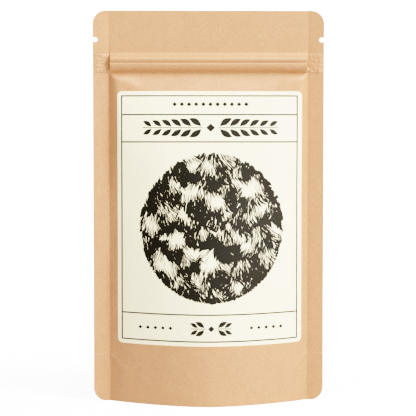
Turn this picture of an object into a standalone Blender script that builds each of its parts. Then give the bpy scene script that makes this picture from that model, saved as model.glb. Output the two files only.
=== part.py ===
"""Stand-up pouch of kraft-paper laminate: two panels, a bottom gusset, a zip, a label and its fill.

Metres, +Z up. The pouch stands on z = 0 with its label facing -Y, and its origin is under the middle
of its box.
"""

import math

import bmesh
import bpy

MM = 0.001

# Driving dimensions of the flat pouch
WIDTH = 130 * MM
HEIGHT = 220.4 * MM
CORNER_RADIUS = 7.4 * MM
SEAL_WIDTH = 9 * MM
WALL = 0.2 * MM
GAP = 0.3 * MM
NOTCH_HEIGHT = 204 * MM
NOTCH_DEPTH = 2.7 * MM
NOTCH_RADIUS = 1.25 * MM

# The opened shape
BELLY_FRONT = 22.5 * MM
BELLY_BACK = 20.5 * MM
RIM_SHARE = 0.99
BELLY_LOW = 40 * MM
BELLY_HIGH = 60 * MM
CLIMB_POWER = 1.5
LENS_POWER = 1.65
LENS_GAIN = 0.15
FULLER_GAIN = 1.2
FULLER_FROM = 110 * MM
FULLER_TO = 165 * MM
SHOULDER_DEPTH = 3.5 * MM
SHOULDER_HEIGHT = 10 * MM
SEAL_LEAN = math.tan(math.radians(11))

# Bottom gusset
GUSSET_FOLD = 27 * MM
GUSSET_CENTRE_SEAL = 5 * MM
GUSSET_STEP = 1 * MM
GUSSET_RUN_OUT = 7 * MM
LEG_SHARE = 0.5
FOLD_POWER = 1.5
FLOOR_HALF = 34 * MM
FLOOR_PRESS = 2 * MM

# Zip
ZIP_LOW = 185.6 * MM
ZIP_HIGH = 196.2 * MM
ZIP_HALF_DEPTH = 0.9 * MM
ZIP_CRUSHED_HALF = 0.35 * MM
ZIP_RUN_IN = 1.6 * MM
ZIP_RUN_OUT = 2 * MM
CRUSHED_SHARE = 0.03
RIB_HEIGHT = 1.2 * MM
LIP_HEIGHT = 0.6 * MM

# Label
LABEL_WIDTH = 103.6 * MM
LABEL_LOW = 33.8 * MM
LABEL_HIGH = 175.1 * MM
LABEL_SHIFT = 0.6 * MM
LABEL_CORNER = 2.5 * MM
LABEL_WALL = 0.1 * MM

# Fill of capsules
FILL_HALF_WIDTH = 47 * MM
FILL_EDGE_HEIGHT = 43.5 * MM
FILL_TOP = 69.5 * MM
FILL_CLEARANCE = 1.4 * MM
FILL_SQUARENESS = 4

# How far the sheets and the cutters reach past the outline before they are trimmed
MARGIN = 2 * MM

# Worked out from the above
INNER_HALF = WIDTH / 2 - SEAL_WIDTH
PLIES = WALL + GAP
# Both panels reach equally far past their bellies, so this puts the middle of the box at Y = 0
SEAL_Y = (BELLY_FRONT - BELLY_BACK) / 2
FRONT, BACK = -1, 1

KRAFT = (0.766, 0.521, 0.319)
CREAM = (0.906, 0.880, 0.776)
CLEAR_FILM = (0.80, 0.79, 0.76)
CAPSULE = (0.72, 0.66, 0.52)


def smooth_step(value, start, end):
    """0 before start and 1 after end, with a smooth rise between them."""
    share = min(max((value - start) / (end - start), 0.0), 1.0)
    return share * share * (3.0 - 2.0 * share)


def swell(side, z):
    """How far a panel's middle stands out from the seals' plane at height z."""
    belly = BELLY_FRONT if side == FRONT else BELLY_BACK
    opened = belly * (RIM_SHARE + (1.0 - RIM_SHARE) * smooth_step(z, 0.0, BELLY_LOW))
    climb = min(max((z - BELLY_HIGH) / (ZIP_LOW - BELLY_HIGH), 0.0), 1.0)
    shoulder = 1.0 - smooth_step(z, ZIP_LOW - SHOULDER_HEIGHT, ZIP_LOW)
    return (opened - SHOULDER_DEPTH) * (1.0 - climb**CLIMB_POWER) + SHOULDER_DEPTH * shoulder


def depth(side, x, z):
    """The panel's bulge at x: lens-shaped at the base, and flatter in front higher up."""
    across = min(abs(x) / INNER_HALF, 1.0)
    fullness = LENS_POWER + LENS_GAIN * smooth_step(z, 0.0, BELLY_LOW)
    fullness += FULLER_GAIN * smooth_step(z, FULLER_FROM, FULLER_TO)
    return swell(side, z) * (1.0 - across**fullness)


def seal_plane(x):
    """Where the two panels meet: flat in the middle, with both side seals leaning forward."""
    return SEAL_Y - SEAL_LEAN * max(abs(x) - INNER_HALF, 0.0)


def crush(x):
    """0 between the side seals and 1 inside them, where the zip is pressed flat."""
    return smooth_step(abs(x), INNER_HALF - ZIP_RUN_IN, INNER_HALF + ZIP_RUN_IN / 2)


def room(x, z):
    """Half the space that the gusset's plies or the zip hold open between the panels' middles."""
    gusset = PLIES * (1.0 - smooth_step(z, GUSSET_FOLD + GUSSET_STEP, GUSSET_FOLD + GUSSET_RUN_OUT))
    half_zip = ZIP_HALF_DEPTH + (ZIP_CRUSHED_HALF - ZIP_HALF_DEPTH) * crush(x)
    over_zip = smooth_step(z, ZIP_LOW - ZIP_RUN_OUT, ZIP_LOW)
    over_zip -= smooth_step(z, ZIP_HIGH, ZIP_HIGH + ZIP_RUN_OUT)
    return PLIES / 2 + gusset + over_zip * (half_zip + GAP + WALL / 2 - PLIES / 2)


def panel_y(side, x, z):
    """The middle of a panel's wall at x and z."""
    return seal_plane(x) + side * (room(x, z) + depth(side, x, z))


def label_y(x, z):
    """The middle of the label's wall, clear of the front panel."""
    return panel_y(FRONT, x, z) - (WALL / 2 + GAP + LABEL_WALL / 2)


def gusset_seal(x):
    """Height of the curved line where the gusset leaves a panel."""
    across = min(abs(x) / INNER_HALF, 1.0)
    return GUSSET_CENTRE_SEAL + (GUSSET_FOLD - GUSSET_CENTRE_SEAL) * across**2


def web_height(x, share):
    """Height of the gusset's web, with share from -1 at the front panel to 1 at the back.

    It sags from the panels to its middle fold, which rises to full height at the side seals. The table
    presses the middle flat, so no point is lower than half the wall.
    """
    rise = min(max((abs(x) - FLOOR_HALF) / (INNER_HALF - FLOOR_HALF), 0.0), 1.0)
    fold = (GUSSET_FOLD + GAP + FLOOR_PRESS) * rise**FOLD_POWER - FLOOR_PRESS
    top = gusset_seal(x)
    return max(top + (fold - top) * (1.0 - share * share), WALL / 2)


def gusset_leg_y(side, x, z):
    """The part of the gusset that is bonded to a panel, one gap inside it."""
    return panel_y(side, x, z) - side * PLIES


def gusset_point(x, along):
    """A point of the gusset: along runs from -1 at the front's bottom edge to 1 at the back's."""
    side = FRONT if along < 0 else BACK
    top = gusset_seal(x)
    if abs(along) > LEG_SHARE:
        z = top * (1.0 - abs(along)) / (1.0 - LEG_SHARE)
        return x, gusset_leg_y(side, x, z), z
    share = along / LEG_SHARE
    front, back = gusset_leg_y(FRONT, x, top), gusset_leg_y(BACK, x, top)
    return x, front + (back - front) * (share + 1.0) / 2.0, web_height(x, share)


def floor_height(x, y):
    """Height of the gusset's web over a point of the base."""
    top = gusset_seal(x)
    front, back = gusset_leg_y(FRONT, x, top), gusset_leg_y(BACK, x, top)
    return web_height(x, min(max((y - front) / (back - front), 0.0), 1.0) * 2.0 - 1.0)


def material(name, colour, roughness):
    made = bpy.data.materials.new(name)
    made.use_nodes = True
    shader = made.node_tree.nodes["Principled BSDF"]
    shader.inputs["Base Color"].default_value = (*colour, 1.0)
    shader.inputs["Roughness"].default_value = roughness
    return made


def link(name, mesh, collection, finish=None):
    """An object of this mesh in the collection, shaded smooth."""
    made = bpy.data.objects.new(name, mesh)
    collection.objects.link(made)
    if finish:
        mesh.materials.append(finish)
    mesh.shade_smooth()
    mesh.set_sharp_from_angle(angle=math.radians(35))
    return made


def spread(limits, spans):
    """Evenly spaced values that pass through every limit, with this many spans between each two."""
    values = [limits[0]]
    for start, end, count in zip(limits, limits[1:], spans):
        values += [start + (end - start) * i / count for i in range(1, count + 1)]
    return values


def grid_mesh(name, columns, rows, place):
    """A grid whose vertices go where place(column value, row value) says.

    It is made of triangles, so that both faces of the wall bend along the same diagonals and stay parallel.
    """
    spans_across, spans_up = len(columns) - 1, len(rows) - 1
    shape = bmesh.new()
    bmesh.ops.create_grid(shape, x_segments=spans_across, y_segments=spans_up, size=1.0)
    for vertex in shape.verts:
        column = round((vertex.co.x + 1.0) / 2.0 * spans_across)
        row = round((vertex.co.y + 1.0) / 2.0 * spans_up)
        vertex.co = place(columns[column], rows[row])
    bmesh.ops.triangulate(shape, faces=shape.faces, quad_method="SHORT_EDGE")
    mesh = bpy.data.meshes.new(name)
    shape.to_mesh(mesh)
    shape.free()
    return mesh


def arc(centre_x, centre_z, radius, start, end, steps):
    """Points of an arc, with its angles in degrees."""
    turns = [math.radians(start + (end - start) * i / steps) for i in range(steps + 1)]
    return [(centre_x + radius * math.cos(t), centre_z + radius * math.sin(t)) for t in turns]


def rounded_outline(half_width, low, high, radius):
    """The four corner arcs of a rounded rectangle, anticlockwise from the right edge's lower end."""
    left, right = radius - half_width, half_width - radius
    return [
        arc(right, low + radius, radius, -90, 0, 6),
        arc(right, high - radius, radius, 0, 90, 6),
        arc(left, high - radius, radius, 90, 180, 6),
        arc(left, low + radius, radius, 180, 270, 6),
    ]


def pouch_outline():
    """The flat pouch's outline: round corners and a round-ended tear notch in each side."""
    low_right, high_right, high_left, low_left = rounded_outline(WIDTH / 2, 0.0, HEIGHT, CORNER_RADIUS)
    notch_x = WIDTH / 2 - NOTCH_DEPTH + NOTCH_RADIUS
    inner = arc(notch_x, NOTCH_HEIGHT, NOTCH_RADIUS, 270, 90, 6)
    mouth = [(WIDTH / 2, NOTCH_HEIGHT - NOTCH_RADIUS), (WIDTH / 2, NOTCH_HEIGHT + NOTCH_RADIUS)]
    right_notch = [mouth[0], *inner, mouth[1]]
    left_notch = [(-x, z) for x, z in reversed(right_notch)]
    return low_right + right_notch + high_right + high_left + left_notch + low_left


def gusset_outline():
    """The pouch's outline, dropped in the middle, so that it trims only the gusset's sides and corners."""
    inset = WIDTH / 2 - CORNER_RADIUS - MARGIN / 2
    return [(-inset, -MARGIN), (inset, -MARGIN)] + pouch_outline()


def label_outline():
    corners = rounded_outline(LABEL_WIDTH / 2, LABEL_LOW, LABEL_HIGH, LABEL_CORNER)
    return [(x + LABEL_SHIFT, z) for corner in corners for x, z in corner]


def outline_cutter(name, outline, collection):
    """A closed block of this outline in X and Z, deep enough in Y to pass through the whole pouch."""
    curve = bpy.data.curves.new(name, "CURVE")
    curve.dimensions = "2D"
    curve.fill_mode = "BOTH"
    curve.extrude = 60 * MM
    spline = curve.splines.new("POLY")
    spline.points.add(len(outline) - 1)
    for point, (x, z) in zip(spline.points, outline):
        point.co = (x, z, 0.0, 1.0)
    spline.use_cyclic_u = True
    drawn = bpy.data.objects.new(name + "_curve", curve)
    drawn.rotation_euler.x = math.radians(90)
    collection.objects.link(drawn)
    bpy.context.view_layer.update()
    mesh = bpy.data.meshes.new_from_object(drawn.evaluated_get(bpy.context.evaluated_depsgraph_get()))
    shape = bmesh.new()
    shape.from_mesh(mesh)
    bmesh.ops.remove_doubles(shape, verts=shape.verts, dist=0.001 * MM)
    shape.to_mesh(mesh)
    shape.free()
    cutter = bpy.data.objects.new(name, mesh)
    cutter.matrix_world = drawn.matrix_world
    bpy.data.objects.remove(drawn)
    collection.objects.link(cutter)
    cutter.hide_render = True
    cutter.display_type = "WIRE"
    return cutter


def sheet(name, mesh, thickness, cutter, collection, finish):
    """A wall of this thickness about the grid, trimmed to the cutter's outline."""
    made = link(name, mesh, collection, finish)
    wall = made.modifiers.new("wall", "SOLIDIFY")
    wall.thickness = thickness
    wall.offset = 0.0
    trim = made.modifiers.new("trim", "BOOLEAN")
    trim.operation = "INTERSECT"
    trim.object = cutter
    return made


def column_lines():
    """Panel columns: close together where the bulge meets the seals."""
    half = spread([0.0, 40 * MM, INNER_HALF, WIDTH / 2 + MARGIN], [5, 4, 1])
    return [-x for x in reversed(half[1:])] + half


def row_lines():
    """Panel rows: close together at the base, the shoulder and the zip."""
    gusset = [GUSSET_FOLD + GUSSET_STEP, GUSSET_FOLD + GUSSET_RUN_OUT]
    lower = [-MARGIN, 0.0, *gusset, ZIP_LOW - SHOULDER_HEIGHT]
    upper = [ZIP_LOW - ZIP_RUN_OUT, ZIP_LOW, ZIP_HIGH, ZIP_HIGH + ZIP_RUN_OUT, HEIGHT + MARGIN]
    return spread(lower + upper, [1, 3, 1, 8, 2, 1, 1, 1, 1])


def add_panel(side, name, cutter, collection, finish):
    def place(x, z):
        return x, panel_y(side, x, z), z

    mesh = grid_mesh(name, column_lines(), row_lines(), place)
    return sheet(name, mesh, WALL, cutter, collection, finish)


def add_label(cutter, collection, finish):
    columns = [x for x in column_lines() if abs(x) <= INNER_HALF]
    rows = [z for z in row_lines() if GUSSET_FOLD < z < ZIP_LOW - ZIP_RUN_OUT]
    mesh = grid_mesh("label", columns, rows, lambda x, z: (x, label_y(x, z), z))
    return sheet("label", mesh, LABEL_WALL, cutter, collection, finish)


def add_gusset(cutter, collection, finish):
    along = spread([-1.0, -0.5, -0.25, 0.25, 0.5, 1.0], [3, 3, 4, 3, 3])
    mesh = grid_mesh("bottom_gusset", column_lines(), along, gusset_point)
    return sheet("bottom_gusset", mesh, WALL, cutter, collection, finish)


def loft(name, sections, collection, finish):
    """A closed body through sections that have the same number of points, with flat ends."""
    shape = bmesh.new()
    rings = [[shape.verts.new(point) for point in section] for section in sections]
    for ring, after in zip(rings, rings[1:]):
        for i in range(len(ring)):
            j = (i + 1) % len(ring)
            shape.faces.new((ring[i], ring[j], after[j], after[i]))
    shape.faces.new(rings[0])
    shape.faces.new(rings[-1])
    bmesh.ops.recalc_face_normals(shape, faces=shape.faces)
    mesh = bpy.data.meshes.new(name)
    shape.to_mesh(mesh)
    shape.free()
    return link(name, mesh, collection, finish)


def add_zip_track(side, name, profile, collection, finish):
    """One zip strip: profile lists (how far in from the strip's outer face, height from the zip's middle)."""
    middle = (ZIP_LOW + ZIP_HIGH) / 2
    half = spread([0.0, INNER_HALF - ZIP_RUN_IN, INNER_HALF + ZIP_RUN_IN / 2, WIDTH / 2], [1, 2, 1])
    sections = []
    for x in [-x for x in reversed(half[1:])] + half:
        outer = ZIP_HALF_DEPTH + (ZIP_CRUSHED_HALF - ZIP_HALF_DEPTH) * crush(x)
        section = []
        for inward, rise in profile:
            pressed = min(inward, WALL) + max(inward - WALL, 0.0) * (1.0 - (1.0 - CRUSHED_SHARE) * crush(x))
            section.append((x, seal_plane(x) + side * (outer - pressed), middle + rise))
        sections.append(section)
    return loft(name, sections, collection, finish)


def rib_profile():
    """The front strip: a flange with one rib standing in from it."""
    end = (ZIP_HIGH - ZIP_LOW) / 2 - GAP
    tip = 2 * ZIP_HALF_DEPTH - WALL - 2 * GAP
    half = RIB_HEIGHT / 2
    rib = [(WALL, -half), (tip, -half), (tip, half), (WALL, half)]
    return [(0.0, -end), (WALL, -end), *rib, (WALL, end), (0.0, end)]


def groove_profile():
    """The back strip: a flange with two lips that hold the rib between them."""
    end = (ZIP_HIGH - ZIP_LOW) / 2 - GAP
    near = RIB_HEIGHT / 2 + GAP
    far = near + LIP_HEIGHT
    tip = 2 * ZIP_HALF_DEPTH - WALL - 2 * GAP
    lower = [(WALL, -far), (tip, -far), (tip, -near), (WALL, -near)]
    upper = [(inward, -rise) for inward, rise in reversed(lower)]
    return [(0.0, -end), (WALL, -end), *lower, *upper, (WALL, end), (0.0, end)]


def add_capsules(collection, finish):
    """The heap of capsules as one solid: it fills the base between the panels and has a rounded top."""
    shape = bmesh.new()
    bmesh.ops.create_uvsphere(shape, u_segments=24, v_segments=12, radius=1.0)
    for vertex in shape.verts:
        across, through, level = vertex.co
        x = across * FILL_HALF_WIDTH
        chord = math.sqrt(max(1.0 - across * across, 1e-6))
        share = max(min(through / chord, 1.0), -1.0)
        side = FRONT if share < 0 else BACK
        lean_in = 1.0 - across**FILL_SQUARENESS
        z = FILL_EDGE_HEIGHT
        for _ in range(2):
            reach = max(depth(side, x, z) - FILL_CLEARANCE, 0.0) * lean_in
            y = SEAL_Y + share * reach
            end = FILL_TOP if level > 0 else floor_height(x, y) + FILL_CLEARANCE
            z = FILL_EDGE_HEIGHT + (end - FILL_EDGE_HEIGHT) * math.sqrt(abs(level))
        vertex.co = (x, y, z)
    mesh = bpy.data.meshes.new("capsules")
    shape.to_mesh(mesh)
    shape.free()
    return link("capsules", mesh, collection, finish)


def clear_scene():
    for found in list(bpy.data.objects):
        bpy.data.objects.remove(found)


def main():
    clear_scene()
    pouch = bpy.data.collections.new("stand_up_pouch")
    cutters = bpy.data.collections.new("cutters")
    bpy.context.scene.collection.children.link(pouch)
    bpy.context.scene.collection.children.link(cutters)
    kraft = material("kraft", KRAFT, 0.75)
    film = material("zip_film", CLEAR_FILM, 0.4)
    outline = outline_cutter("pouch_outline", pouch_outline(), cutters)
    add_panel(FRONT, "front_panel", outline, pouch, kraft)
    add_panel(BACK, "back_panel", outline, pouch, kraft)
    gusset_cutter = outline_cutter("gusset_outline", gusset_outline(), cutters)
    add_gusset(gusset_cutter, pouch, kraft)
    add_zip_track(FRONT, "zip_track_front", rib_profile(), pouch, film)
    add_zip_track(BACK, "zip_track_back", groove_profile(), pouch, film)
    label_cutter = outline_cutter("label_outline", label_outline(), cutters)
    add_label(label_cutter, pouch, material("label_paper", CREAM, 0.8))
    add_capsules(pouch, material("capsule_shell", CAPSULE, 0.35))


main()
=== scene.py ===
# %% [markdown]
# # A stand-up pouch of kraft paper
#
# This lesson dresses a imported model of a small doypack: a pouch of brown kraft-paper laminate with a
# press-to-close zip, heat-sealed sides, a folded base and a cream paper label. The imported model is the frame.

# %% Load the frame
import math

import bmesh
import bpy
import numpy as np
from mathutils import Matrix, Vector


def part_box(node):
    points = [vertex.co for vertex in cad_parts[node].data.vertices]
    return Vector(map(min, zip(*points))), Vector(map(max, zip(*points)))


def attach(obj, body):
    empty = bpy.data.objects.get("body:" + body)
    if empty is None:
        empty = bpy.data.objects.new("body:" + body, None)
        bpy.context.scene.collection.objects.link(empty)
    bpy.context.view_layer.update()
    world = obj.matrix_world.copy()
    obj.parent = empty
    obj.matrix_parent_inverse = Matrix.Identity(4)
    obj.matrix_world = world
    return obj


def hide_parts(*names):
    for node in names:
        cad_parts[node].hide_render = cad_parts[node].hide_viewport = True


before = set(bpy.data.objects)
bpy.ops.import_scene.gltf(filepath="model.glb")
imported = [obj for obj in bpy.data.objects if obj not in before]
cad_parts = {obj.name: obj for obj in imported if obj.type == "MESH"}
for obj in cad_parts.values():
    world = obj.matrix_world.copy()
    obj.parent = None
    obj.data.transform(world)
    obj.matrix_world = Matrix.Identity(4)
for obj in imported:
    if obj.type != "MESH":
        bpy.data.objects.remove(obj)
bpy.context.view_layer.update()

print("nodes:", ", ".join(sorted(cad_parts)))

# %% [markdown]
# ## The pouch's own measures
#
# The panels' box gives the width and height, the zip's box gives the place of the closure and of the plane in
# which the seals lie, and the label's box gives the label. Only sizes that no box shows, such as the seals'
# width and the corners' radius, are written as numbers. The sheets' own walls stand a little past the grids
# that they are made from, so the outline keeps a twentieth of a millimetre inside the box.

# %% Measures from the frame
MM = 0.001
FRONT, BACK = -1, 1
panel_low, panel_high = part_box("front_panel")
back_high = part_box("back_panel")[1]
zip_low, zip_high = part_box("zip_track_back")
gusset_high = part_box("bottom_gusset")[1]
label_low, label_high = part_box("label")
fill_low, fill_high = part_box("capsules")

EDGE_ROOM = 0.05 * MM
HALF_WIDTH = (panel_high.x - panel_low.x) / 2 - EDGE_ROOM
HEIGHT = panel_high.z - EDGE_ROOM
SEAL_WIDTH = 9 * MM
INNER_HALF = HALF_WIDTH - SEAL_WIDTH
CORNER_RADIUS = 7.4 * MM
SEAL_Y = zip_high.y - 0.9 * MM
BELLY = {FRONT: SEAL_Y - panel_low.y - 0.5 * MM, BACK: back_high.y - SEAL_Y - 0.5 * MM}
ZIP_BOTTOM = zip_low.z - 0.3 * MM
ZIP_TOP = zip_high.z + 0.3 * MM
ZIP_MIDDLE = (ZIP_BOTTOM + ZIP_TOP) / 2
GUSSET_FOLD = gusset_high.z - 0.4 * MM
print(f"pouch {2000 * HALF_WIDTH:.0f} x {1000 * HEIGHT:.0f} mm, belly {1000 * BELLY[FRONT]:.1f} mm in front")
print(f"zip from {1000 * ZIP_BOTTOM:.1f} to {1000 * ZIP_TOP:.1f} mm")
print(f"gusset fold at {1000 * GUSSET_FOLD:.1f} mm")

# %% [markdown]
# ## Camera, stage and light
#
# A long lens from a little above the middle of the pouch shows the front almost squarely, with the opened
# base as a shallow curve. The stage is a wide pale floor. One soft light stands to the right, another hangs
# almost overhead, and pale surroundings fill the shadows.

# %% Camera
CAMERA_DISTANCE = 0.8
CAMERA_TURN = math.radians(-1.5)
camera_data = bpy.data.cameras.new("camera")
camera_data.lens = 122.5
camera = bpy.data.objects.new("camera", camera_data)
bpy.context.scene.collection.objects.link(camera)
eye_x = CAMERA_DISTANCE * math.sin(CAMERA_TURN)
eye_y = SEAL_Y - CAMERA_DISTANCE * math.cos(CAMERA_TURN)
camera.location = (eye_x, eye_y, 0.68 * HEIGHT)
aim = Vector((-0.3 * MM, SEAL_Y, 0.4964 * HEIGHT))
camera.rotation_euler = (aim - camera.location).to_track_quat("-Z", "Y").to_euler()
bpy.context.scene.camera = camera
print("camera stands at", [round(v, 3) for v in camera.location])


# %% Stage
def make_stage(half=3.0):
    shape = bmesh.new()
    bmesh.ops.create_grid(shape, x_segments=2, y_segments=2, size=half)
    mesh = bpy.data.meshes.new("stage_floor")
    shape.to_mesh(mesh)
    shape.free()
    made = bpy.data.objects.new("stage_floor", mesh)
    made.location.z = -0.02 * MM
    bpy.context.scene.collection.objects.link(made)
    return made


floor = make_stage()
print("stage:", floor.name)


# %% Lights
def add_area_light(name, azimuth, elevation, distance, size, power, colour):
    """A square soft light at this bearing, turned to the middle of the pouch."""
    data = bpy.data.lights.new(name, "AREA")
    data.size = size
    data.energy = power
    data.color = colour
    light = bpy.data.objects.new(name, data)
    bpy.context.scene.collection.objects.link(light)
    turn, rise = math.radians(azimuth), math.radians(elevation)
    flat = distance * math.cos(rise)
    light.location = (flat * math.sin(turn), -flat * math.cos(turn), distance * math.sin(rise) + HEIGHT / 2)
    middle = Vector((0.0, 0.0, HEIGHT / 2))
    light.rotation_euler = (middle - light.location).to_track_quat("-Z", "Y").to_euler()
    return light


add_area_light("key_light", 50, 38, 1.3, 0.55, 32.2, (1.0, 1.0, 1.0))
add_area_light("top_light", 30, 70, 1.3, 0.55, 13.9, (1.0, 1.0, 1.0))
WORLD_LIGHT = 1.165
world = bpy.data.worlds.new("studio")
world.use_nodes = True
surround = world.node_tree.nodes["Background"]
surround.inputs["Color"].default_value = (1.0, 1.0, 1.0, 1.0)
surround.inputs["Strength"].default_value = WORLD_LIGHT
bpy.context.scene.world = world

# %% [markdown]
# Film is darker than a straight response in the shadows, and bends over near white, so that shaded kraft
# looks richer and lit kraft whiter. A curve in the view settings adds that response. The stage is much
# brighter than paper, and so it is the only thing that comes out nearly pure white.

# %% Film response
WHITE_LEVEL = 6.0
BLACK_OFFSET = 0.15
TOE = 0.02


def film(light):
    """The tone that this much light makes, from 0 to 1."""
    tone = (1.0 + BLACK_OFFSET) * (1.0 - math.exp(-light)) - BLACK_OFFSET
    return 0.5 * (tone + math.hypot(tone, TOE))


settings = bpy.context.scene.view_settings
settings.view_transform = "Standard"
settings.use_curve_mapping = True
mapping = settings.curve_mapping
mapping.white_level = (WHITE_LEVEL, WHITE_LEVEL, WHITE_LEVEL)
response = mapping.curves[3]
response.points[-1].location = (1.0, 1.0)
for light in (0.1, 0.16, 0.25, 0.4, 0.6, 0.9, 1.3, 1.9, 2.7, 4.0):
    response.points.new(light / WHITE_LEVEL, film(light))
mapping.update()
print("film response set, with", len(response.points), "points")

# %% [markdown]
# ## The shape of a filled pouch
#
# A flat pouch becomes a solid shape when its base opens: a lens at the rim, fullest a hand's breadth of
# capsules up, and flat again at the zip. A cloth simulation could find it, but paper laminate bends in few,
# clean ways, so a formula is easier to steer. It takes the least of three surfaces: a pillow, a ramp that
# rises from each side seal, and a ramp that falls from the zip. Where two ramps meet there is a
# soft hip, which is the slanting facet that real pouches show under each end of the zip.


# %% Helpers for smooth shapes
def smooth(value, start, end):
    """0 before start and 1 after end, with a smooth rise between them."""
    share = np.clip((value - start) / (end - start), 0.0, 1.0)
    return share * share * (3.0 - 2.0 * share)


def soft_min(first, second, blend):
    """The lower of two surfaces, with the crease between them rounded over this blend."""
    share = np.clip(0.5 + 0.5 * (second - first) / blend, 0.0, 1.0)
    return second + (first - second) * share - blend * share * (1.0 - share)


def ripples(x, z, seed, longest, shortest, count=14):
    """Gentle waves in many directions, between about -1 and 1, the same on every run."""
    chance = np.random.default_rng(seed)
    total = np.zeros(np.broadcast(x, z).shape)
    for _ in range(count):
        length = chance.uniform(shortest, longest)
        turn, phase = chance.uniform(0, 2 * math.pi, 2)
        total += np.sin((x * math.cos(turn) + z * math.sin(turn)) * 2 * math.pi / length + phase)
    return total / math.sqrt(count)


# %% The pillow and its ramps
BELLY_LOW, BELLY_HIGH = 40 * MM, 60 * MM
RIM_SHARE = 0.99
SHOULDER = 3.8 * MM
UP_RAMP_MIDDLE, UP_RAMP_CORNER = 0.5, 0.95
SIDE_RAMP_LOW, SIDE_RAMP_HIGH = math.tan(math.radians(38)), math.tan(math.radians(44))
SEAL_LEAN = math.tan(math.radians(11))


def swell(side, z):
    """How far a panel's middle stands out at height z, before the zip pulls it in."""
    opened = BELLY[side] * (RIM_SHARE + (1.0 - RIM_SHARE) * smooth(z, 0.0, BELLY_LOW))
    climb = np.clip((z - BELLY_HIGH) / (ZIP_BOTTOM - BELLY_HIGH), 0.0, 1.0)
    return (opened - SHOULDER) * (1.0 - climb**1.5) + SHOULDER


def depth(side, x, z):
    """The bulge of a panel over the seals' plane."""
    across = np.clip(np.abs(x) / INNER_HALF, 0.0, 1.0)
    flat_top = smooth(z, 110 * MM, 165 * MM)
    power = 1.65 + 0.15 * smooth(z, 0.0, BELLY_LOW) + 1.2 * flat_top
    edge = 0.5 * MM * smooth(z, 5 * MM, 40 * MM) + 2.6 * MM * flat_top
    full = swell(side, z)
    pillow = edge + (full - edge) * (1.0 - across**power)
    slope = SIDE_RAMP_LOW + (SIDE_RAMP_HIGH - SIDE_RAMP_LOW) * flat_top
    side_ramp = slope * (INNER_HALF - np.abs(x))
    steep = smooth(np.abs(x), 36 * MM, 53 * MM)
    up_ramp = (UP_RAMP_MIDDLE + (UP_RAMP_CORNER - UP_RAMP_MIDDLE) * steep) * (ZIP_BOTTOM - z)
    bulge = soft_min(soft_min(pillow, side_ramp, 1.2 * MM), up_ramp, 0.9 * MM)
    return np.maximum(bulge, 0.0)


def seal_plane(x):
    """The plane of the seals, whose outer edges lean a little forward."""
    return SEAL_Y - SEAL_LEAN * np.maximum(np.abs(x) - INNER_HALF, 0.0)


def gusset_seal(x):
    """Height of the curved line where the gusset leaves a panel."""
    across = np.clip(np.abs(x) / INNER_HALF, 0.0, 1.0)
    return 5 * MM + (GUSSET_FOLD - 5 * MM) * across**2


print(f"front bulge at mid height {1000 * float(depth(FRONT, 0.0, HEIGHT / 2)):.1f} mm")

# %% [markdown]
# ## The zip in relief
#
# The two zip strips are inside, and the paper in front follows them: a ridge with a steep upper face, a thin
# groove, and a second face that falls away below, ever more steeply. The profile lists millimetres above the
# zip's lower edge, and how far the paper stands out there. Inside the side seals the hot bar has crushed the
# strips, so there the band is thin and bumpy, and the ridges end in a short steep step.

# %% Zip relief
WALL = 0.18 * MM
PLY = 0.2 * MM
ZIP_PROFILE = [(0.0, 0.0), (0.4, 0.25), (0.9, 0.82), (1.5, 1.62), (2.1, 2.28), (2.7, 2.8), (3.2, 3.14),
               (3.7, 3.4), (4.2, 3.58), (4.65, 3.68), (4.85, 3.66), (5.1, 3.46), (5.4, 3.1), (5.7, 3.02),
               (6.0, 3.25), (6.5, 3.65), (7.0, 3.86), (7.5, 3.9), (8.0, 3.66), (8.6, 2.98), (9.2, 2.12),
               (9.8, 1.28), (10.3, 0.75), (10.8, 0.42), (11.5, 0.2), (13.0, 0.1), (17.0, 0.0)]
CRUSHED_STAND = 0.42 * MM
CRUSHED_BUMPS = 0.13 * MM


def in_zip_end(x):
    """0 between the seals and 1 inside them, over a steep step at the zip's ends."""
    return smooth(np.abs(x), INNER_HALF - 0.75 * MM, INNER_HALF - 0.05 * MM)


def zip_relief(x, z):
    """How far the zip pushes the paper out."""
    heights, stands = np.array(ZIP_PROFILE).T * MM
    open_zip = np.interp(z - ZIP_BOTTOM, heights, stands, left=0.0, right=0.0)
    band = smooth(z, ZIP_BOTTOM - 0.1 * MM, ZIP_BOTTOM + 0.35 * MM)
    band = band * (1.0 - smooth(z, ZIP_TOP - 0.6 * MM, ZIP_TOP))
    bumps = ripples(x, z, 5, 3.2 * MM, 1.1 * MM) + 0.8 * ripples(0.25 * x, z, 6, 2.4 * MM, 0.9 * MM)
    flat_edge = 1.0 - smooth(np.abs(x), HALF_WIDTH - 2.5 * MM, HALF_WIDTH - 0.3 * MM)
    crushed = band * flat_edge * (CRUSHED_STAND + CRUSHED_BUMPS * bumps)
    end = in_zip_end(x)
    return open_zip * (1.0 - end) + crushed * end


# %% [markdown]
# ## Creases and waves in the paper
#
# Below the fold the gusset's plies thicken the side seals by a step, and the corner of each panel folds
# softly along the curved bond line. The seals carry a pressed line along their inner edge. Everything else
# has a faint wave, because hot sealing never leaves paper quite flat.

# %% Panel surface
WAVES = 0.16 * MM
SEAL_WAVES = 0.05 * MM
CORNER_CREASE = 0.3 * MM
SEAL_PRESS = 0.06 * MM
TOP_LEAN = math.tan(math.radians(2.2))


def ply_step(x, z):
    """The gusset's plies: full below the bond line, gone above it."""
    edge = gusset_seal(x) - z
    seal = smooth(np.abs(x), INNER_HALF - 6 * MM, INNER_HALF)
    run = 0.25 * MM + (1.0 - seal) * 3 * MM
    return PLY * smooth(edge, -run, run)


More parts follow.
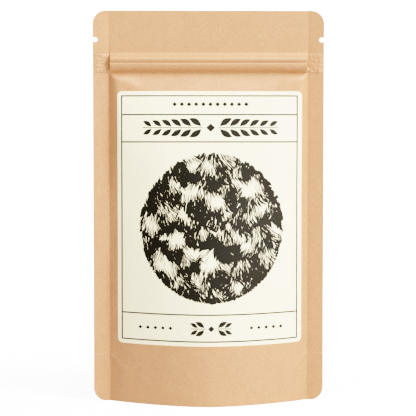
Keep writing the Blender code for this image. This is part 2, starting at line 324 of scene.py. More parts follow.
def corner_crease(side, x, z):
    """A soft ridge from the fold's end towards the base, fading before the middle."""
    slant = 0.95 if side == FRONT else 0.8
    along = (INNER_HALF - np.abs(x)) - (GUSSET_FOLD - z) * slant
    reach = smooth(np.abs(x), INNER_HALF - 15 * MM, INNER_HALF - 5 * MM)
    inside = 1.0 - smooth(np.abs(x), INNER_HALF - 0.6 * MM, INNER_HALF + 0.2 * MM)
    below = 1.0 - smooth(z, GUSSET_FOLD, GUSSET_FOLD + 1.5 * MM)
    return CORNER_CREASE * np.exp(-((along / (1.3 * MM)) ** 2)) * reach * inside * below


def waves(side, x, z):
    """Low waves over the bulge, weaker in the seals and at the bottom rim."""
    seal = smooth(np.abs(x), INNER_HALF - 4 * MM, INNER_HALF + 1 * MM)
    calm = smooth(z, 0.0, 12 * MM) * (1.0 - 0.5 * smooth(z, ZIP_BOTTOM - 6 * MM, ZIP_BOTTOM))
    body = WAVES * ripples(x, 0.55 * z, 11 + side, 46 * MM, 17 * MM) * (1.0 - seal)
    edge = SEAL_WAVES * ripples(x, z, 21 + side, 30 * MM, 9 * MM) * seal
    return (body + edge) * calm


def seal_press(x, z):
    """The groove that the sealing bar's edge leaves, over the whole height but the zip."""
    line = np.exp(-(((np.abs(x) - INNER_HALF - 0.5 * MM) / (0.45 * MM)) ** 2))
    over_zip = smooth(z, ZIP_BOTTOM - 0.5 * MM, ZIP_BOTTOM)
    over_zip = over_zip * (1.0 - smooth(z, ZIP_TOP, ZIP_TOP + 0.5 * MM))
    return SEAL_PRESS * line * (1.0 - over_zip)


def panel_out(side, x, z):
    """Distance of a panel's middle layer from the seals' plane."""
    relief = zip_relief(x, z) * (1.0 if side == FRONT else 0.8)
    rest = PLY / 2 + ply_step(x, z) + depth(side, x, z) + relief
    return rest + corner_crease(side, x, z) + waves(side, x, z) - seal_press(x, z)


def panel_y(side, x, z):
    """A panel's middle layer, with the top flap leaning a little forward."""
    lean = TOP_LEAN * np.maximum(z - ZIP_TOP, 0.0)
    return seal_plane(x) - lean + side * panel_out(side, x, z)


# %% [markdown]
# ## From surface to paper
#
# A panel is a grid of points on that surface. Instead of cutting the round corners and the tear notches with
# a Boolean, which leaves slivers on thin paper, each row of the grid is made just as wide as the pouch is at
# that height, and only the columns inside the seals are squeezed. A shell then gives the grid its wall.


# %% Outline of the pouch
NOTCH_HEIGHT = 204 * MM
NOTCH_DEPTH = 2.7 * MM
NOTCH_RADIUS = 1.25 * MM
STEP_EDGE = 0.01 * MM


def arc_inset(distance, radius):
    """How far a round corner cuts in at this distance from the end of a side."""
    return radius - np.sqrt(np.maximum(radius**2 - np.maximum(radius - distance, 0.0) ** 2, 0.0))


def half_width_at(z):
    """Half the pouch's width at height z, with its corners and notches."""
    corner = arc_inset(z, CORNER_RADIUS) + arc_inset(HEIGHT - z, CORNER_RADIUS)
    from_middle = np.abs(z - NOTCH_HEIGHT)
    round_end = np.sqrt(np.maximum(NOTCH_RADIUS**2 - from_middle**2, 0.0))
    notch = np.where(from_middle <= NOTCH_RADIUS, NOTCH_DEPTH - NOTCH_RADIUS + round_end, 0.0)
    return HALF_WIDTH - corner - notch


def spaced(limits, steps):
    """Values through every limit, no further apart than the step given for each stretch."""
    values = [np.array([limits[0]])]
    for start, end, step in zip(limits, limits[1:], steps):
        count = max(1, round(abs(end - start) / step))
        values.append(np.linspace(start, end, count + 1)[1:])
    return np.concatenate(values)


def corner_rows(radius, count=9):
    """Heights that follow a round corner evenly, from its end upwards."""
    return radius * (1.0 - np.cos(np.linspace(0.0, math.pi / 2, count)))


def panel_rows():
    """Row heights: close at the corners, the gusset's fold, the notches and the zip."""
    notch = NOTCH_HEIGHT + NOTCH_RADIUS * np.sin(np.linspace(-math.pi / 2, math.pi / 2, 11))
    middle = spaced(
        [CORNER_RADIUS, GUSSET_FOLD - 3 * MM, GUSSET_FOLD + 2 * MM, ZIP_BOTTOM - 14 * MM, ZIP_BOTTOM - 1 * MM,
         ZIP_TOP + 1 * MM, notch[0] - STEP_EDGE],
        [1.6 * MM, 0.35 * MM, 1.7 * MM, 0.8 * MM, 0.22 * MM, 1.2 * MM],
    )
    upper = spaced([notch[-1] + STEP_EDGE, HEIGHT - CORNER_RADIUS], [1.2 * MM])
    top = HEIGHT - corner_rows(CORNER_RADIUS)[::-1]
    rows = np.concatenate([corner_rows(CORNER_RADIUS), middle, notch, upper, top])
    return np.unique(np.round(np.maximum(rows, EDGE_ROOM), 8))


def panel_columns():
    """Column places: close inside the seals and at their inner edge."""
    half = spaced(
        [0.0, INNER_HALF - 9 * MM, INNER_HALF - 1.2 * MM, INNER_HALF + 0.9 * MM, HALF_WIDTH],
        [1.6 * MM, 0.6 * MM, 0.17 * MM, 0.55 * MM],
    )
    return np.concatenate([-half[:0:-1], half])


def squeezed(x, limit):
    """Columns beyond the seals' inner edge, squeezed to end at the limit."""
    share = (limit - INNER_HALF) / (HALF_WIDTH - INNER_HALF)
    beyond = np.maximum(np.abs(x) - INNER_HALF, 0.0)
    return np.sign(x) * (np.minimum(np.abs(x), INNER_HALF) + beyond * share)


# %% A shell from a grid of points
def link(name, mesh):
    """Puts the mesh in the scene as a piece that rides on the pouch."""
    made = bpy.data.objects.new(name, mesh)
    bpy.context.scene.collection.objects.link(made)
    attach(made, "root")
    return made


def grid_faces(index):
    """Quads between neighbouring rows and columns of an index grid."""
    return np.stack([index[:-1, :-1], index[:-1, 1:], index[1:, 1:], index[1:, :-1]], axis=-1).reshape(-1, 4)


def shell(name, middle, wall, sharp=40):
    """A closed wall about a grid of points, shaped rows x columns x 3."""
    normal = np.cross(np.gradient(middle, axis=1), np.gradient(middle, axis=0))
    normal /= np.linalg.norm(normal, axis=2, keepdims=True)
    rows, columns = middle.shape[:2]
    outer = np.arange(rows * columns).reshape(rows, columns)
    inner = outer + rows * columns
    around = np.concatenate([outer[0], outer[1:, -1], outer[-1, -2::-1], outer[-2:0:-1, 0]])
    after = np.roll(around, -1)
    shift = rows * columns
    rim = np.stack([after, around, around + shift, after + shift], axis=-1)
    faces = np.concatenate([grid_faces(outer), grid_faces(inner)[:, ::-1], rim])
    half = normal * wall / 2
    points = np.concatenate([(middle + half).reshape(-1, 3), (middle - half).reshape(-1, 3)])
    mesh = bpy.data.meshes.new(name)
    mesh.from_pydata(points.tolist(), [], faces.tolist())
    mesh.shade_smooth()
    mesh.set_sharp_from_angle(angle=math.radians(sharp))
    print(f"{name}: {rows} rows x {columns} columns")
    return link(name, mesh)


# %% Front and back panels
def make_panel(name, side):
    rows = panel_rows()
    z = np.repeat(rows[:, None], len(panel_columns()), axis=1)
    x = squeezed(panel_columns()[None, :], half_width_at(rows)[:, None])
    made = shell(name, np.stack([x, panel_y(side, x, z), z], axis=-1), WALL)
    return made


front_panel = make_panel("kraft_front", FRONT)
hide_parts("front_panel")
back_panel = make_panel("kraft_back", BACK)
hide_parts("back_panel")

# %% [markdown]
# ## The bottom gusset
#
# One web is folded up between the panels and bonded to both below a curved line. When the pouch is
# opened the web hangs between those lines, and the fill presses its middle flat on the table. It is a
# grid too: along its length it runs down one panel, across the floor, and up the other.

# %% Gusset
FLOOR_HALF = 34 * MM
FLOOR_PRESS = 2 * MM


def web_height(x, share):
    """Height of the web's middle layer, with share from -1 at the front panel to 1 at the back."""
    rise = np.clip((np.abs(x) - FLOOR_HALF) / (INNER_HALF - FLOOR_HALF), 0.0, 1.0)
    fold = (GUSSET_FOLD + FLOOR_PRESS) * rise**1.5 - FLOOR_PRESS
    top = gusset_seal(x)
    return np.maximum(top + (fold - top) * (1.0 - share**2), WALL / 2)


def gusset_leg_y(side, x, z):
    """The bonded part of the web lies against the inside of its panel."""
    return panel_y(side, x, z) - side * PLY


def make_gusset():
    along = spaced([-1.0, -0.5, 0.5, 1.0], [0.07, 0.035, 0.07])[:, None]
    columns = panel_columns()[None, :]
    leg_height = gusset_seal(columns) * (1.0 - np.abs(along)) * 2.0
    share = np.clip(2.0 * along, -1.0, 1.0)
    z = np.where(np.abs(along) > 0.5, leg_height, web_height(columns, share))
    x = squeezed(np.broadcast_to(columns, z.shape), half_width_at(z))
    top = gusset_seal(x)
    front, back = gusset_leg_y(FRONT, x, top), gusset_leg_y(BACK, x, top)
    web_y = front + (back - front) * (share + 1.0) / 2.0
    leg_y = np.where(along < 0, gusset_leg_y(FRONT, x, z), gusset_leg_y(BACK, x, z))
    y = np.where(np.abs(along) > 0.5, leg_y, web_y)
    made = shell("kraft_gusset", np.stack([x, y, z], axis=-1), WALL)
    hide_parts("bottom_gusset")
    return made


gusset = make_gusset()

# %% [markdown]
# ## The label
#
# The label is a rectangle of cream paper with small round corners. It lies on the front panel, so it
# is the same surface moved out by both walls, over the label's own rectangle.

# %% Label
LABEL_WALL = 0.1 * MM
LABEL_CORNER = 2.6 * MM
LABEL_MIDDLE = (label_low.x + label_high.x) / 2
LABEL_HALF = (label_high.x - label_low.x) / 2


def label_y(x, z, lift=0.0):
    """The label's outer face, moved out by lift."""
    return panel_y(FRONT, x, z) - (WALL / 2 + LABEL_WALL + 0.02 * MM + lift)


def label_half_width(z):
    corner = arc_inset(z - label_low.z, LABEL_CORNER) + arc_inset(label_high.z - z, LABEL_CORNER)
    return LABEL_HALF - corner


def make_label():
    ends = corner_rows(LABEL_CORNER)
    body = spaced([label_low.z + LABEL_CORNER, label_high.z - LABEL_CORNER], [1.5 * MM])
    rows = np.unique(np.round(np.concatenate([label_low.z + ends, body, label_high.z - ends]), 8))
    half = spaced([0.0, LABEL_HALF - 4 * MM, LABEL_HALF], [1.5 * MM, 0.5 * MM])
    across = np.concatenate([-half[:0:-1], half]) / LABEL_HALF
    limits = label_half_width(rows)[:, None]
    straight = np.clip(np.abs(across[None, :]) * LABEL_HALF, 0.0, LABEL_HALF - LABEL_CORNER)
    beyond = (np.abs(across[None, :]) * LABEL_HALF - straight) / LABEL_CORNER
    x = LABEL_MIDDLE + np.sign(across[None, :]) * (straight + beyond * (limits - LABEL_HALF + LABEL_CORNER))
    z = np.repeat(rows[:, None], x.shape[1], axis=1)
    made = shell("label_sheet", np.stack([x, label_y(x, z, -LABEL_WALL / 2), z], axis=-1), LABEL_WALL)
    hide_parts("label")
    return made


label = make_label()

# %% [markdown]
# ## The zip and the fill
#
# Both are inside the closed pouch. The two zip strips lie against the paper, so they are the panels'
# surfaces again, moved in by half of each wall, with a rib on the front strip and two lips on the back one.

# %% Zip strips
STRIP_WALL = 0.12 * MM
RIB_HALF = 0.22 * MM
RIB_OFF = 1.1 * MM


def strip_y(side, x, z, inward=0.0):
    return panel_y(side, x, z) - side * (WALL / 2 + STRIP_WALL / 2 + 0.02 * MM + inward)


def make_zip_strip(name, side, rib_heights):
    """A strip over the zip's height, with a rib along it at each of these heights above its middle."""
    half = spaced([0.0, INNER_HALF - 2 * MM, INNER_HALF - 1 * MM], [2 * MM, 0.3 * MM])
    x = np.concatenate([-half[:0:-1], half])[None, :]
    z = spaced([ZIP_BOTTOM + 0.6 * MM, ZIP_TOP - 0.6 * MM], [0.4 * MM])[:, None]
    x, z = np.broadcast_arrays(x, z)
    stand = np.zeros(z.shape)
    for height in rib_heights:
        stand = np.maximum(stand, smooth(RIB_HALF * 2 - np.abs(z - ZIP_MIDDLE - height), 0.0, RIB_HALF))
    y = strip_y(side, x, z, stand * 0.12 * MM)
    made = shell(name, np.stack([x, y, z], axis=-1), STRIP_WALL)
    return made


zip_front = make_zip_strip("zip_strip_front", FRONT, [0.0])
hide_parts("zip_track_front")
zip_back = make_zip_strip("zip_strip_back", BACK, [-RIB_OFF, RIB_OFF])
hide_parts("zip_track_back")

# %% [markdown]
# The fill is a heap of two-piece capsules. Each is a turned shape: a body with round ends, and a slightly
# wider cap over one half. They lie in staggered rows, with a little disorder, wherever a whole capsule fits
# between the panels, from the floor of the pouch up, to ninety at most.

# %% Capsules
CAPSULE_LENGTH = 21.7 * MM
BODY_RADIUS = 3.68 * MM
CAP_RADIUS = 3.82 * MM
CAPSULE_COUNT = 90
COLUMN_PITCH, ROW_PITCH, LAYER_PITCH = 22.1 * MM, 7.85 * MM, 6.8 * MM


def capsule_profile(steps=6):
    """(place along the axis, radius) from one round end to the other, with the cap's rim between."""
    end = CAPSULE_LENGTH / 2
    turns = np.linspace(0.0, math.pi / 2, steps)
    body_end = [(-end + BODY_RADIUS * (1 - math.cos(t)), BODY_RADIUS * math.sin(t)) for t in turns]
    cap_end = [(end - CAP_RADIUS * (1 - math.cos(t)), CAP_RADIUS * math.sin(t)) for t in turns[::-1]]
    rim = -0.05 * CAPSULE_LENGTH
    return body_end + [(rim, BODY_RADIUS), (rim + 0.05 * MM, CAP_RADIUS)] + cap_end


def turned(profile, sides=16):
    """Points and faces of the shape that this profile makes about the X axis."""
    angles = np.arange(sides) * 2 * math.pi / sides
    rings = [
        [(place, radius * math.cos(a), radius * math.sin(a)) for a in angles]
        for place, radius in profile[1:-1]
    ]
    points = [(profile[0][0], 0, 0)] + [point for ring in rings for point in ring] + [(profile[-1][0], 0, 0)]
    faces = []
    for ring in range(len(rings) - 1):
        for i in range(sides):
            j = (i + 1) % sides
            start = 1 + ring * sides
            faces.append((start + i, start + sides + i, start + sides + j, start + j))
    for i in range(sides):
        j = (i + 1) % sides
        faces.append((0, 1 + i, 1 + j))
        faces.append((len(points) - 1, len(points) - 1 - sides + j, len(points) - 1 - sides + i))
    return np.array(points), faces


def fits(centre, direction):
    """Whether a capsule here stays inside the fill's solid and between the panels."""
    for end in (-1, 0, 1):
        tip = centre + direction * end * (CAPSULE_LENGTH / 2 - CAP_RADIUS)
        if not fill_low.z + CAP_RADIUS < tip[2] < fill_high.z - CAP_RADIUS:
            return False
        if abs(tip[0]) > fill_high.x - CAP_RADIUS:
            return False
        side = FRONT if tip[1] < SEAL_Y else BACK
        room = float(depth(side, tip[0], tip[2])) - CAP_RADIUS * 1.35
        if abs(tip[1] - SEAL_Y) > room:
            return False
        if tip[2] - CAP_RADIUS < float(web_height(tip[0], (tip[1] - SEAL_Y) / BELLY[side])):
            return False
    return True


def capsule_places():
    """Centres and directions, from the lowest layer up: rows along X, staggered from layer to layer."""
    chance = np.random.default_rng(7)
    places = []
    for layer, z in enumerate(np.arange(fill_low.z + 4.2 * MM, fill_high.z, LAYER_PITCH)):
        for row, y in enumerate(SEAL_Y + (np.arange(-3, 4) + 0.5 * (layer % 2)) * ROW_PITCH):
            for column in range(-3, 4):
                x = (column + 0.5 * ((layer + row) % 2)) * COLUMN_PITCH
                turn, tilt = chance.normal(0.0, 0.02, 2)
                direction = np.array([math.cos(turn), math.sin(turn), tilt])
                if fits(np.array([x, y, z]), direction):
                    places.append((np.array([x, y, z]), direction / np.linalg.norm(direction)))
    return places[:CAPSULE_COUNT]


def make_capsules():
    points, faces = turned(capsule_profile())
    every_point, every_face = [], []
    places = capsule_places()
    for centre, direction in places:
        across = np.cross((0, 0, 1), direction)
        across /= np.linalg.norm(across)
        turn = np.stack([direction, across, np.cross(direction, across)])
        every_face += [[i + len(every_point) * len(points) for i in face] for face in faces]
        every_point.append(points @ turn + centre)
    mesh = bpy.data.meshes.new("capsule_heap")
    mesh.from_pydata(np.concatenate(every_point).tolist(), [], every_face)
    mesh.shade_smooth()
    mesh.set_sharp_from_angle(angle=math.radians(40))
    made = link("capsule_heap", mesh)
    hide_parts("capsules")
    print("capsules:", len(places))
    return made


capsules = make_capsules()

# %% [markdown]
# ## Ink on the label
#
# The printing is flat, but it is laid as real shapes a few hundredths of a millimetre thick, which keeps
# every edge sharp at any distance. Each mark is a ribbon: a line of points with a width at each, bent over
# the label like the paper under it. A frame line and three rules divide the label.

# %% Ribbons of ink
INK_LIFT = 0.02 * MM
INK_WALL = 0.02 * MM


class Ink:
    """Gathers ribbons and makes one mesh of them."""

    def __init__(self):
        self.points, self.faces, self.count = [], [], 0

    def ribbon(self, x, z, width, lift=0.0):
        """A closed flat ribbon through these points, with these widths."""
        x, z = np.asarray(x, float), np.asarray(z, float)
        run_x, run_z = np.gradient(x), np.gradient(z)
        length = np.hypot(run_x, run_z)
        off_x, off_z = -run_z / length * width / 2, run_x / length * width / 2
        steps = len(x)
        edges_x = np.concatenate([x + off_x, x - off_x] * 2)
        edges_z = np.concatenate([z + off_z, z - off_z] * 2)
        lifts = np.repeat([INK_LIFT + INK_WALL + lift, INK_LIFT - INK_WALL], 2 * steps)
        y = label_y(edges_x, edges_z) - lifts
        first = self.count
        self.points.append(np.stack([edges_x, y, edges_z], axis=-1))
        self.count += 4 * steps
        left, right, low_left, low_right = (first + k * steps + np.arange(steps) for k in range(4))
        rows = [(left, right), (right, low_right), (low_right, low_left), (low_left, left)]
        for one, other in rows:
            self.faces.append(np.stack([one[:-1], other[:-1], other[1:], one[1:]], axis=-1))
        self.faces.append([[left[0], low_left[0], low_right[0], right[0]]])
        self.faces.append([[left[-1], right[-1], low_right[-1], low_left[-1]]])

    def line(self, start, end, width, step=1.5 * MM):
        """A straight ribbon between two points of the label."""
        count = max(2, round(math.dist(start, end) / step) + 1)
        x, z = np.linspace(start[0], end[0], count), np.linspace(start[1], end[1], count)
        self.ribbon(x, z, np.full(count, width))

    def made(self, name):
        mesh = bpy.data.meshes.new(name)
        mesh.from_pydata(np.concatenate(self.points).tolist(), [], np.concatenate(self.faces).tolist())
        print(f"{name}: {2 * sum(len(f) for f in self.faces)} triangles")
        return link(name, mesh)


# %% Frame and rules
FRAME_INSET = 2.6 * MM
PRINT_SHIFT = -0.15 * MM
LINE_WIDTH = 0.62 * MM
RULE_UNDER_HEADING = 162.0 * MM
RULE_UNDER_TITLE = 146.8 * MM
RULE_OVER_FOOT = 51.3 * MM


def make_rules():
    ink = Ink()
    left, right = label_low.x + FRAME_INSET + PRINT_SHIFT, label_high.x - FRAME_INSET + PRINT_SHIFT
    low, high = label_low.z + FRAME_INSET, label_high.z - FRAME_INSET
    ink.line((left, low - LINE_WIDTH / 2), (left, high + LINE_WIDTH / 2), LINE_WIDTH)
    ink.line((right, low - LINE_WIDTH / 2), (right, high + LINE_WIDTH / 2), LINE_WIDTH)
    for height in (low, high, RULE_UNDER_HEADING, RULE_UNDER_TITLE, RULE_OVER_FOOT):
        ink.line((left, height), (right, height), LINE_WIDTH)
    return ink.made("label_rules")


rules = make_rules()

# %% [markdown]
# ## Ornaments
#
# The bands above and below the drawing hold plain printers' ornaments, and no words: a row of dots in the
# heading, a leafy sprig across the title, and a small sprig between two rows of dots at the foot.

# %% Ornaments
HEADING_Z = 167.8 * MM
TITLE_Z = 154.7 * MM
FOOT_Z = 43.6 * MM
ORNAMENT_X = 0.9 * MM


def dot(ink, x, z, size):
    """A small lozenge."""
    reach = np.array([-0.5, -0.25, 0.0, 0.25, 0.5]) * size
    ink.ribbon(x + reach, np.full(5, z), np.array([0.08, 0.55, 1.0, 0.55, 0.08]) * size)


def leaf(ink, x, z, side, up, length):
    """A pointed leaf that grows outwards (side) and up or down from here, and bends back to the stem."""
    share = np.linspace(0.0, 1.0, 7)
    heading = math.radians(48) * (1.0 - 0.55 * share)
    path_x = x + side * np.cumsum(np.cos(heading)) * length / 7
    path_z = z + up * np.cumsum(np.sin(heading)) * length / 7
    ink.ribbon(path_x, path_z, length * (0.03 + 0.34 * np.sin(share * math.pi) ** 1.1))


def sprig(ink, x, z, reach, pairs, length):
    """A stem to both sides of a lozenge, with pairs of leaves that get smaller outwards."""
    dot(ink, x, z, 0.5 * length)
    for side in (-1, 1):
        start = 0.5 * length
        ink.line((x + side * start, z), (x + side * reach, z), 0.35 * MM)
        for pair in range(pairs):
            share = pair / pairs
            root = x + side * (start + share * (reach - start))
            for up in (-1, 1):
                leaf(ink, root, z, side, up, length * (1.0 - 0.35 * share))


def make_ornaments():
    ink = Ink()
    for place in np.arange(-5, 6):
        dot(ink, ORNAMENT_X + place * 4.0 * MM, HEADING_Z, 2.4 * MM)
    sprig(ink, ORNAMENT_X, TITLE_Z, 38 * MM, 6, 9.0 * MM)
    sprig(ink, ORNAMENT_X, FOOT_Z, 11 * MM, 2, 6.6 * MM)
    for side in (-1, 1):
        for place in range(5):
            dot(ink, ORNAMENT_X + side * (22.5 + place * 4.2) * MM, FOOT_Z, 2.0 * MM)
    return ink.made("label_ornaments")


ornaments = make_ornaments()

# %% [markdown]
# ## The round drawing
#
# In the middle stands a round drawing in the manner of an old engraving: tufts of hanging spines that lie
# over each other like shingles. It is drawn here by rule, not traced. Every tuft has a crown, and its strokes
# fan out and down from there. Strokes are thin near the crown, where the tuft catches the light, broader
# towards its tips, and broadest in the shade right under another tuft and along the disc's rim.

# %% Tufts
DISC_X, DISC_Z = 1.5 * MM, 99.6 * MM
DISC_WIDE, DISC_TALL = 40.2 * MM, 42.2 * MM
TUFT_WIDE, TUFT_TALL = 10.5 * MM, 15.0 * MM
TUFT_ROWS = 7


def make_tufts(chance):
    """Crowns and sizes, from the top row down, so that the first tuft that covers a point lies uppermost."""
    tufts = []
    for row in range(TUFT_ROWS):
        z = DISC_Z + DISC_TALL * (1.02 - 2.0 * row / (TUFT_ROWS - 0.6))
        for column in range(-3, 4):
            x = DISC_X + (column + 0.5 * (row % 2)) * 1.45 * TUFT_WIDE
            scale = chance.uniform(0.8, 1.3)
            jitter_x, jitter_z = chance.normal(0.0, 2.2 * MM, 2)
            tufts.append((x + jitter_x, z + jitter_z, TUFT_WIDE * scale, TUFT_TALL * scale))
    return tufts


def in_disc(x, z):
    """0 in the middle of the disc and 1 at its edge."""
    return math.hypot((x - DISC_X) / DISC_WIDE, (z - DISC_Z) / DISC_TALL)


def covering_tuft(tufts, x, z, ragged):
    """Index of the tuft that covers this point, and how far across and down from its crown the point is."""
    for index, (crown_x, crown_z, wide, tall) in enumerate(tufts):
        across, down = (x - crown_x) / wide, (crown_z - z) / tall
        if down > -0.3 and math.hypot(across, down) < 1.0 + 0.16 * ragged:
            return index, across, down
    return -1, 0.0, 0.5


# %% Drawing
STROKE_PITCH = 1.06 * MM
HAIR, BROAD = 0.15 * MM, 1.75 * MM


def stroke(ink, chance, x, z, turn, length, width, bend):
    """One tapered stroke that starts here, heads this way and bends as it goes."""
    steps = 4 if length < 3.2 * MM else 5
    share = np.linspace(0.0, 1.0, steps)
    heading = turn + bend * share
    run = length / (steps - 1)
    path_x = x + np.concatenate([[0.0], np.cumsum(np.cos(heading[:-1]) * run)])
    path_z = z + np.concatenate([[0.0], np.cumsum(np.sin(heading[:-1]) * run)])
    taper = np.maximum(np.sin((0.15 + 0.8 * share) * math.pi), 0.1)
    ink.ribbon(path_x, path_z, width * taper, chance.uniform(0.0, 0.012 * MM))


def stroke_tone(chance, own, down, above, patch, rim):
    """How dark a stroke is, from 0 to 1: dark in a tuft's shade and at the rim, light under a crown."""
    tone = 0.22 + 0.48 * float(smooth(down, 0.3, 0.95)) + 0.36 * patch + 0.3 * float(smooth(rim, 0.84, 1.0))
    if above != own:
        tone = 0.88 + 0.3 * patch
    return min(max(tone + chance.normal(0.0, 0.15), 0.0), 1.0)


def make_drawing():
    chance = np.random.default_rng(12)
    ink = Ink()
    tufts = make_tufts(chance)
    reach = int(DISC_TALL / STROKE_PITCH) + 1
    for row in range(-reach, reach + 1):
        for column in range(-reach, reach + 1):
            x = DISC_X + (column + chance.uniform(0, 1)) * STROKE_PITCH
            z = DISC_Z + (row + chance.uniform(0, 1)) * STROKE_PITCH
            if in_disc(x, z) > 0.985:
                continue
            here = (np.array(x), np.array(z))
            ragged, patch, swirl = (float(ripples(*here, k, 26 * MM, 7 * MM)) for k in (1, 2, 4))
            own, across, down = covering_tuft(tufts, x, z, ragged)
            above = covering_tuft(tufts, x, z + 2.4 * MM, ragged)[0]
            tone = stroke_tone(chance, own, down, above, patch, in_disc(x, z))
            if tone < 0.08:
                continue
            turn = math.atan2(-(down + 0.55), 0.9 * across) + 0.22 * swirl + chance.normal(0.0, 0.1)
            length = chance.uniform(2.4, 4.6) * MM
            ahead = (math.cos(turn), math.sin(turn))
            while length > 0.8 * MM and in_disc(x + ahead[0] * length, z + ahead[1] * length) > 1.0:
                length *= 0.8
            stroke(ink, chance, x, z, turn, length, HAIR + (BROAD - HAIR) * tone**2.0, 0.12 * across)
    return ink.made("label_drawing")


drawing = make_drawing()

# %% [markdown]
# ## Materials
#
# Kraft paper is long brown fibres pressed flat: it is mottled on the scale of a centimetre, streaked along
# the web and covered with fine fibres that also make its surface rough. The same two effects, mottling
# and fibres, serve the label's paper at lower strength, so they are node groups.


# %% Node helpers
def group_node(tree, group, **values):
    node = tree.nodes.new("ShaderNodeGroup")
    node.node_tree = group
    for name, value in values.items():
        node.inputs[name].default_value = value
    return node


def new_group(name, inputs, outputs):
    """An empty node group with these float inputs, by name and value, and these float outputs."""
    group = bpy.data.node_groups.new(name, "ShaderNodeTree")
    for label_text, value in inputs.items():
        socket = group.interface.new_socket(name=label_text, in_out="INPUT", socket_type="NodeSocketFloat")
        socket.default_value = value
    for label_text in outputs:
        group.interface.new_socket(name=label_text, in_out="OUTPUT", socket_type="NodeSocketFloat")
    return group, group.nodes.new("NodeGroupInput"), group.nodes.new("NodeGroupOutput")


def stretched_noise(tree, scale, detail, stretch=(1.0, 1.0, 1.0), turn=(0.0, 0.0, 0.0)):
    """Noise in the object's own space, in metres, stretched along an axis."""
    place = tree.nodes.new("ShaderNodeTexCoord")
    mapping_node = tree.nodes.new("ShaderNodeMapping")
    mapping_node.inputs["Scale"].default_value = stretch
    mapping_node.inputs["Rotation"].default_value = turn
    noise = tree.nodes.new("ShaderNodeTexNoise")
    noise.inputs["Scale"].default_value = scale
    noise.inputs["Detail"].default_value = detail
    tree.links.new(place.outputs["Object"], mapping_node.inputs["Vector"])
    tree.links.new(mapping_node.outputs["Vector"], noise.inputs["Vector"])
    return noise.outputs["Fac"]


def math_node(tree, operation, first, second):
    node = tree.nodes.new("ShaderNodeMath")
    node.operation = operation
    for socket, value in zip(node.inputs, (first, second)):
        if hasattr(value, "is_linked"):
            tree.links.new(value, socket)
        else:
            socket.default_value = value
    return node.outputs["Value"]


def remap(tree, value, low, high, to_low, to_high):
    node = tree.nodes.new("ShaderNodeMapRange")
    tree.links.new(value, node.inputs["Value"])
    node.inputs["From Min"].default_value = low
    node.inputs["From Max"].default_value = high
    node.inputs["To Min"].default_value = to_low
    node.inputs["To Max"].default_value = to_high
    return node.outputs["Result"]


# %% Paper effects
def paper_group():
    """Tone, which multiplies a colour, and Height, which drives bump."""
    group, given, result = new_group("paper_fibres", {"Strength": 1.0}, ["Tone", "Height"])
    mottle = remap(group, stretched_noise(group, 130.0, 4.0), 0.35, 0.65, -0.02, 0.02)
    streak = remap(group, stretched_noise(group, 300.0, 3.0, (1.0, 1.0, 0.12)), 0.3, 0.7, -0.015, 0.015)
    along = stretched_noise(group, 1500.0, 3.0, (1.0, 1.0, 0.4), (0.0, math.radians(35), 0.0))
    across = stretched_noise(group, 1900.0, 3.0, (0.4, 1.0, 1.0), (0.0, math.radians(-28), 0.0))
    fibres = math_node(group, "MAXIMUM", along, across)
    fibre_tone = remap(group, fibres, 0.45, 0.75, -0.09, 0.11)
    total = math_node(group, "ADD", math_node(group, "ADD", mottle, streak), fibre_tone)
    scaled = math_node(group, "MULTIPLY", total, given.outputs["Strength"])
    group.links.new(math_node(group, "ADD", scaled, 1.0), result.inputs["Tone"])
    group.links.new(fibres, result.inputs["Height"])
    return group


PAPER = paper_group()


def principled(name, colour, roughness, specular=0.5):
    made = bpy.data.materials.new(name)
    made.use_nodes = True
    shader = made.node_tree.nodes["Principled BSDF"]
    shader.inputs["Base Color"].default_value = (*colour, 1.0)
    shader.inputs["Roughness"].default_value = roughness
    shader.inputs["Specular IOR Level"].default_value = specular
    return made, made.node_tree, shader


def paper_material(name, colour, roughness, specular, strength, bump):
    """Paper of this colour, with its fibres in tone and in relief."""
    made, tree, shader = principled(name, colour, roughness, specular)
    fibres = group_node(tree, PAPER, Strength=strength)
    shade = tree.nodes.new("ShaderNodeVectorMath")
    shade.operation = "SCALE"
    shade.inputs[0].default_value = colour
    tree.links.new(fibres.outputs["Tone"], shade.inputs["Scale"])
    tree.links.new(shade.outputs["Vector"], shader.inputs["Base Color"])
    relief = tree.nodes.new("ShaderNodeBump")
    relief.inputs["Strength"].default_value = 1.0
    relief.inputs["Distance"].default_value = bump
    tree.links.new(fibres.outputs["Height"], relief.inputs["Height"])
    tree.links.new(relief.outputs["Normal"], shader.inputs["Normal"])
    return made


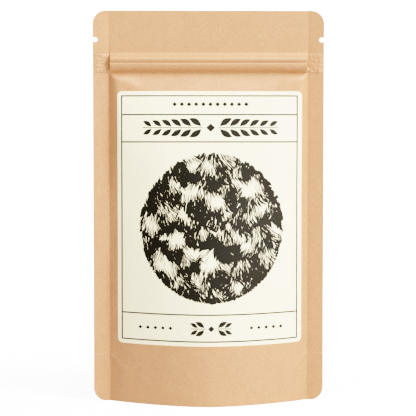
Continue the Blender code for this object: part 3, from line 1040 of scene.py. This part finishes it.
KRAFT_COLOUR = (0.543, 0.284, 0.153)
LABEL_COLOUR = (0.91, 0.82, 0.586)
INK_COLOUR = (0.046, 0.043, 0.037)
kraft = paper_material("kraft_paper", KRAFT_COLOUR, 0.48, 0.55, 1.0, 0.03 * MM)
label_paper = paper_material("cream_paper", LABEL_COLOUR, 0.6, 0.35, 0.22, 0.01 * MM)
ink_material = principled("brown_black_ink", INK_COLOUR, 0.5, 0.3)[0]
zip_plastic, zip_tree, zip_shader = principled("milky_film", (0.82, 0.82, 0.79), 0.35)
zip_cloud = remap(zip_tree, stretched_noise(zip_tree, 300.0, 3.0), 0.3, 0.7, 0.28, 0.45)
zip_tree.links.new(zip_cloud, zip_shader.inputs["Roughness"])
capsule_shell, capsule_tree, capsule_shader = principled("capsule_film", (0.66, 0.56, 0.38), 0.3)
powder = remap(capsule_tree, stretched_noise(capsule_tree, 900.0, 4.0), 0.35, 0.65, 0.25, 0.5)
capsule_tree.links.new(powder, capsule_shader.inputs["Roughness"])

for piece in (front_panel, back_panel, gusset):
    piece.data.materials.append(kraft)
label.data.materials.append(label_paper)
for piece in (rules, ornaments, drawing):
    piece.data.materials.append(ink_material)
for piece in (zip_front, zip_back):
    piece.data.materials.append(zip_plastic)
capsules.data.materials.append(capsule_shell)
print("materials:", ", ".join(sorted(made.name for made in bpy.data.materials)))

# %% [markdown]
# ## A white stage
#
# The floor is a plain matt white. Seen directly it also glows a little, more so further out, so that it
# runs into the white surroundings with no horizon, and a soft contact shadow stays under the pouch.

# %% Stage material
NEAR_GLOW, FAR_GLOW = 2.4, 6.0


def white_stage():
    made, tree, shader = principled("white_stage", (0.86, 0.86, 0.86), 0.9, 0.0)
    place = tree.nodes.new("ShaderNodeTexCoord")
    distance = tree.nodes.new("ShaderNodeVectorMath")
    distance.operation = "LENGTH"
    tree.links.new(place.outputs["Object"], distance.inputs[0])
    glow = remap(tree, distance.outputs["Value"], 0.12, 0.6, NEAR_GLOW, FAR_GLOW)
    seen = tree.nodes.new("ShaderNodeLightPath")
    strength = math_node(tree, "MULTIPLY", glow, seen.outputs["Is Camera Ray"])
    shader.inputs["Emission Color"].default_value = (1.0, 1.0, 1.0, 1.0)
    tree.links.new(strength, shader.inputs["Emission Strength"])
    return made


def white_to_camera():
    """The surroundings look white, but light the pouch more dimly."""
    tree = bpy.context.scene.world.node_tree
    seen = tree.nodes.new("ShaderNodeLightPath")
    brightness = remap(tree, seen.outputs["Is Camera Ray"], 0.0, 1.0, WORLD_LIGHT, WHITE_LEVEL)
    tree.links.new(brightness, tree.nodes["Background"].inputs["Strength"])


floor.data.materials.append(white_stage())
white_to_camera()
